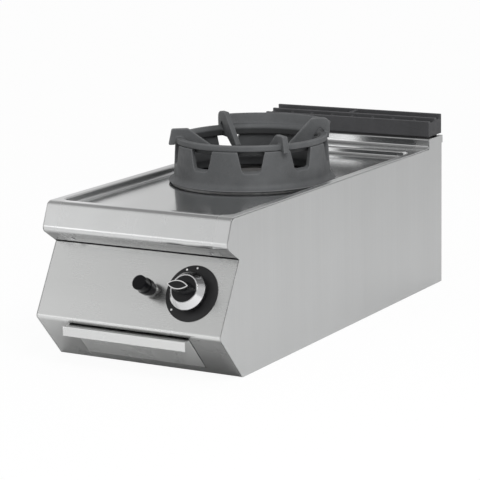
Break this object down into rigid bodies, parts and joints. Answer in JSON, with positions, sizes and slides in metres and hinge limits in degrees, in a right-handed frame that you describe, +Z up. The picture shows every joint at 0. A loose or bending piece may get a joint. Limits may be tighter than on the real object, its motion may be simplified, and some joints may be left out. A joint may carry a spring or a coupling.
{
  "type": "wok range",
  "caption": "Countertop gas wok range: bent steel body, pressed worktop, cast wok ring with trivet, sloping control panel with knob and igniter, drip tray and flue grate.",
  "frame": {"origin": "middle of the base, on the surface that the range stands on", "axes": "+X to the right seen from the front, +Y to the rear along the depth, +Z up"},
  "size_m": [0.4, 0.9706, 0.4036],
  "materials": {
    "steel": "fine brushed, satin",
    "polished_steel": "polished",
    "plain_steel": "mill finish",
    "black_frame": "black enamel",
    "cast_iron": "matte enamel",
    "grate_iron": "matte enamel",
    "brass": "machined",
    "pipe_copper": "drawn copper",
    "white_ceramic": "glazed",
    "fastener_steel": "bright",
    "black_plastic": "satin black",
    "dial_black": "satin black",
    "white_print": "printed",
    "knob_metal": "turned",
    "igniter_white": "moulded"
  },
  "bodies": {
    "body": {"side_panel_left": "steel", "side_panel_right": "steel", "worktop": "polished_steel", "ring_collar": "polished_steel", "control_panel": "steel", "rear_panel": "plain_steel", "base_panel": "plain_steel", "front_rail": "steel", "burner_bridge": "plain_steel", "heat_shield": "plain_steel", "flue_duct": "plain_steel", "flue_frame": "black_frame", "burner_bowl": "plain_steel", "burner_body": "cast_iron", "burner_head": "cast_iron", "mixing_tube": "cast_iron", "injector": "brass", "injector_bracket": "plain_steel", "pilot_bracket": "plain_steel", "pilot_burner": "brass", "thermocouple": "pipe_copper", "ignition_electrode": "white_ceramic", "pilot_tube": "pipe_copper", "gas_valve": "brass", "knob_spring": "fastener_steel", "gas_manifold": "pipe_copper", "supply_pipe": "pipe_copper", "gas_inlet": "brass", "inlet_nut": "brass", "dial_plate": "dial_black", "dial_marks": "white_print", "igniter_bezel": "black_plastic", "igniter_nut": "fastener_steel", "igniter_body": "igniter_white", "igniter_spring": "fastener_steel", "tray_runner_left": "plain_steel", "tray_runner_right": "plain_steel", "fascia_screws": "fastener_steel", "rear_screws": "fastener_steel", "valve_screws": "fastener_steel"},
    "flue_grate": {"flue_grate": "grate_iron"},
    "wok_ring": {"wok_ring": "cast_iron"},
    "wok_trivet": {"wok_trivet": "cast_iron"},
    "burner_cap": {"burner_cap": "cast_iron"},
    "air_shutter": {"air_shutter": "plain_steel"},
    "push_pin": {"thrust_pin": "fastener_steel"},
    "control_knob": {"valve_stem": "fastener_steel", "knob": "black_plastic", "knob_ring": "knob_metal"},
    "igniter_button": {"igniter_button": "black_plastic"},
    "drip_tray": {"tray_front": "steel", "tray_pan": "plain_steel"}
  },
  "joints": [
    {"name": "wok_ring_lift", "type": "slide", "parent": "body", "child": "wok_ring", "axis": [0, 0, 1], "range_m": [0, 0.15]},
    {"name": "wok_trivet_lift", "type": "slide", "parent": "wok_ring", "child": "wok_trivet", "axis": [0, 0, 1], "range_m": [0, 0.12]},
    {"name": "burner_cap_lift", "type": "slide", "parent": "body", "child": "burner_cap", "axis": [0, 0, 1], "range_m": [0, 0.04]},
    {"name": "flue_grate_lift", "type": "slide", "parent": "body", "child": "flue_grate", "axis": [0, 0, 1], "range_m": [0, 0.1]},
    {"name": "drip_tray_slide", "type": "slide", "parent": "body", "child": "drip_tray", "axis": [0, -1, 0], "range_m": [0, 0.4]},
    {"name": "knob_push", "type": "slide", "parent": "body", "child": "push_pin", "axis": [0, 0.8734, -0.4871], "range_m": [0, 0.0035], "stiffness_N_per_m": 2500, "springref_m": -0.002},
    {"name": "knob_turn", "type": "hinge", "parent": "push_pin", "child": "control_knob", "pos_m": [0.12, -0.42757, 0.15512], "axis": [0, -0.8734, 0.4871], "range_deg": [0, 137]},
    {"name": "igniter_push", "type": "slide", "parent": "body", "child": "igniter_button", "axis": [0, 0.8734, -0.4871], "range_m": [0, 0.006], "stiffness_N_per_m": 1200, "springref_m": -0.002},
    {"name": "air_shutter_turn", "type": "hinge", "parent": "body", "child": "air_shutter", "pos_m": [0, -0.235, 0.182], "axis": [0, -1, 0], "range_deg": [0, 60]}
  ]
}
